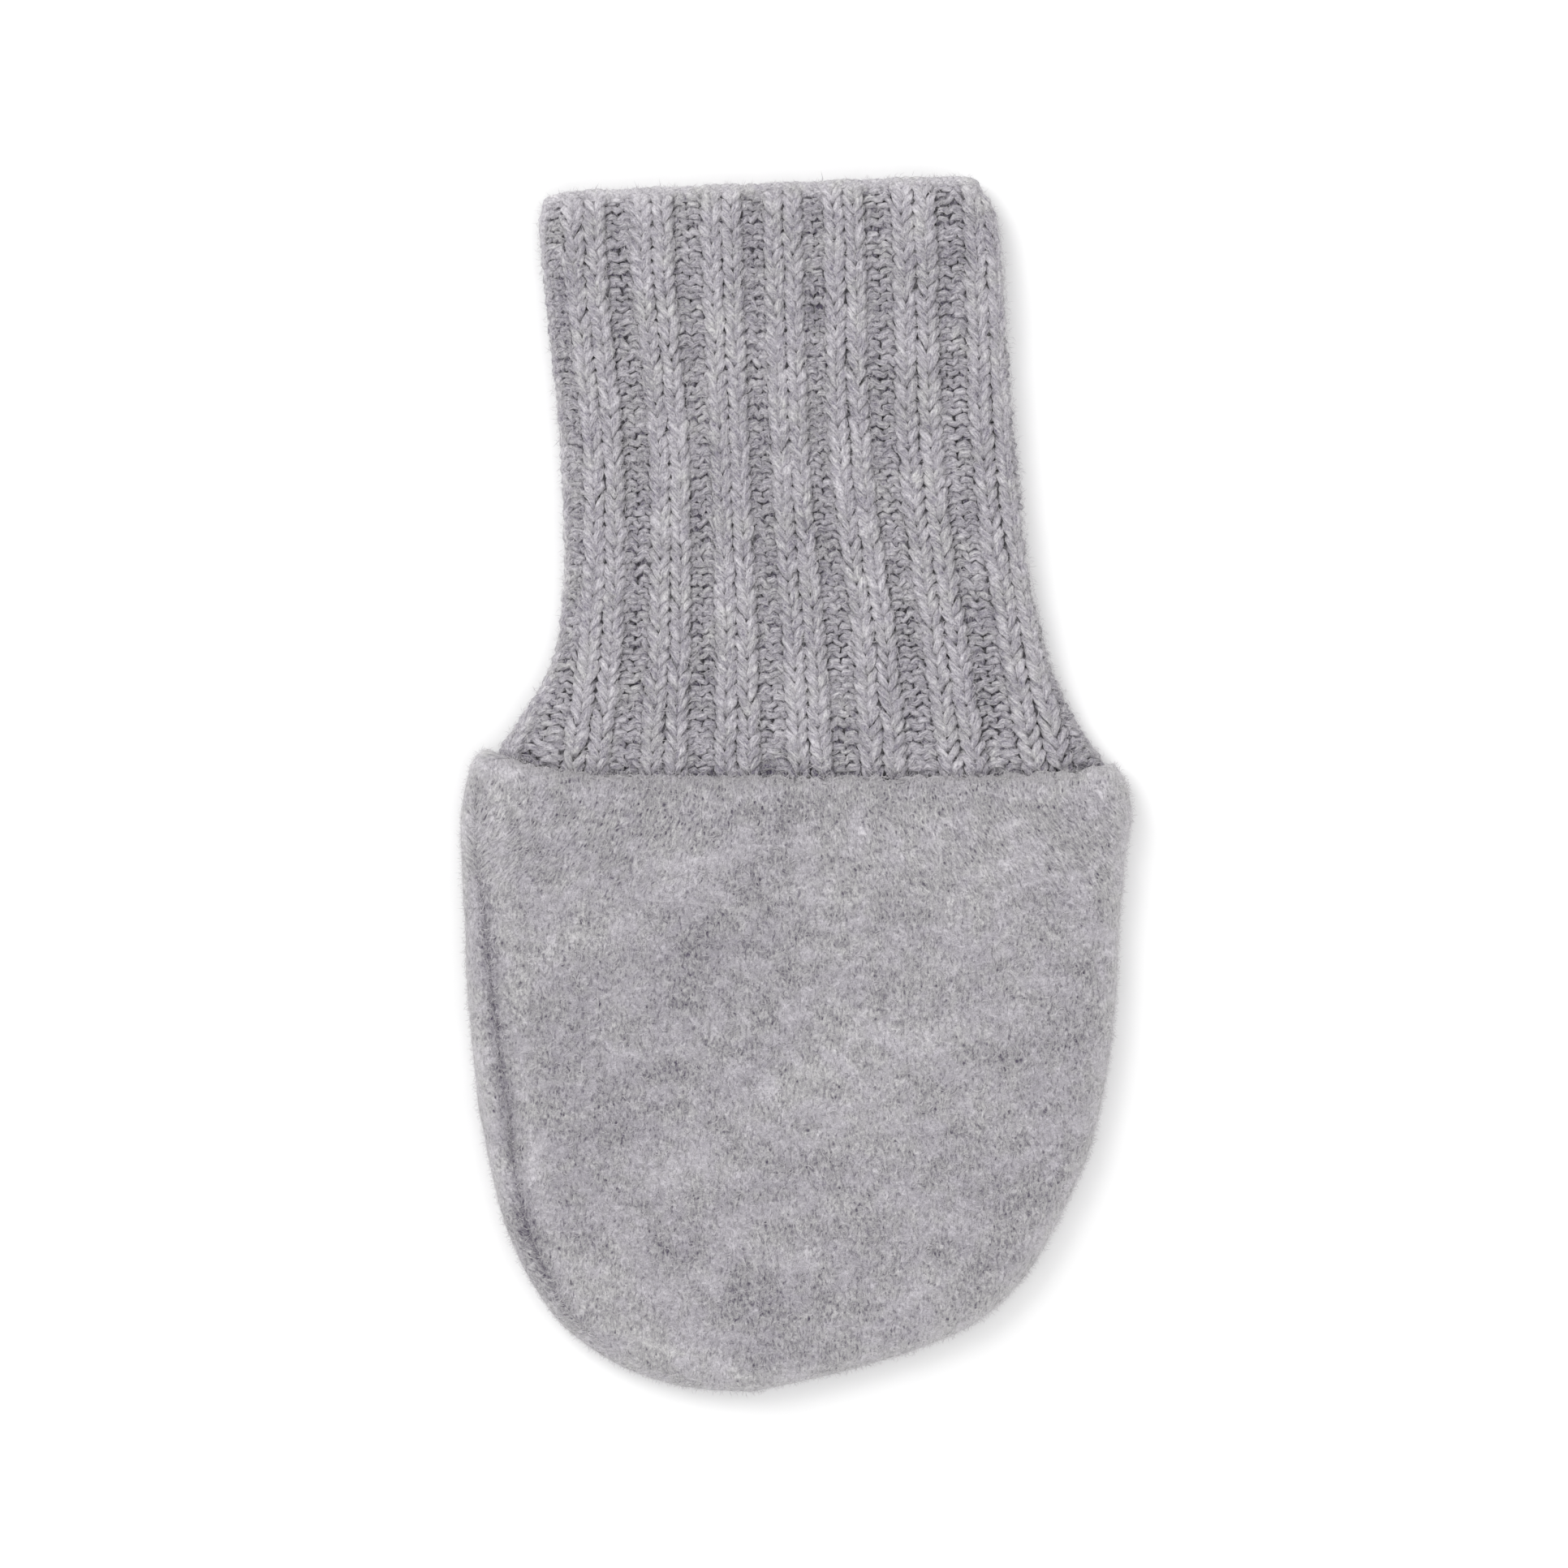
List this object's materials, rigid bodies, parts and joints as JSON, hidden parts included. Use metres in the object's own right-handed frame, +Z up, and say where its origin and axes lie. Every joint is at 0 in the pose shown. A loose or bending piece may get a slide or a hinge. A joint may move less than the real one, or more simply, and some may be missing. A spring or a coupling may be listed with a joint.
{
  "type": "baby mitten",
  "caption": "Thumbless baby mitten laid flat: a rounded brushed wool hand part sewn to a long, narrower ribbed cuff that flares into the seam.",
  "frame": {"origin": "under the middle of the mitten's box, on the surface it lies on", "axes": "+Y from the fingertips to the wrist edge, +X to the right as it lies, +Z up through the cloth"},
  "size_m": [0.0866, 0.1574, 0.0066],
  "materials": {
    "brushed_wool": "brushed and felted light grey melange wool, matt, with a short nap",
    "ribbed_wool": "light grey melange wool yarn in a 2x2 rib, matt, slightly hairy"
  },
  "bodies": {
    "root": {"hand_front": "brushed_wool", "hand_back": "brushed_wool", "cuff": "ribbed_wool"}
  },
  "joints": []
}
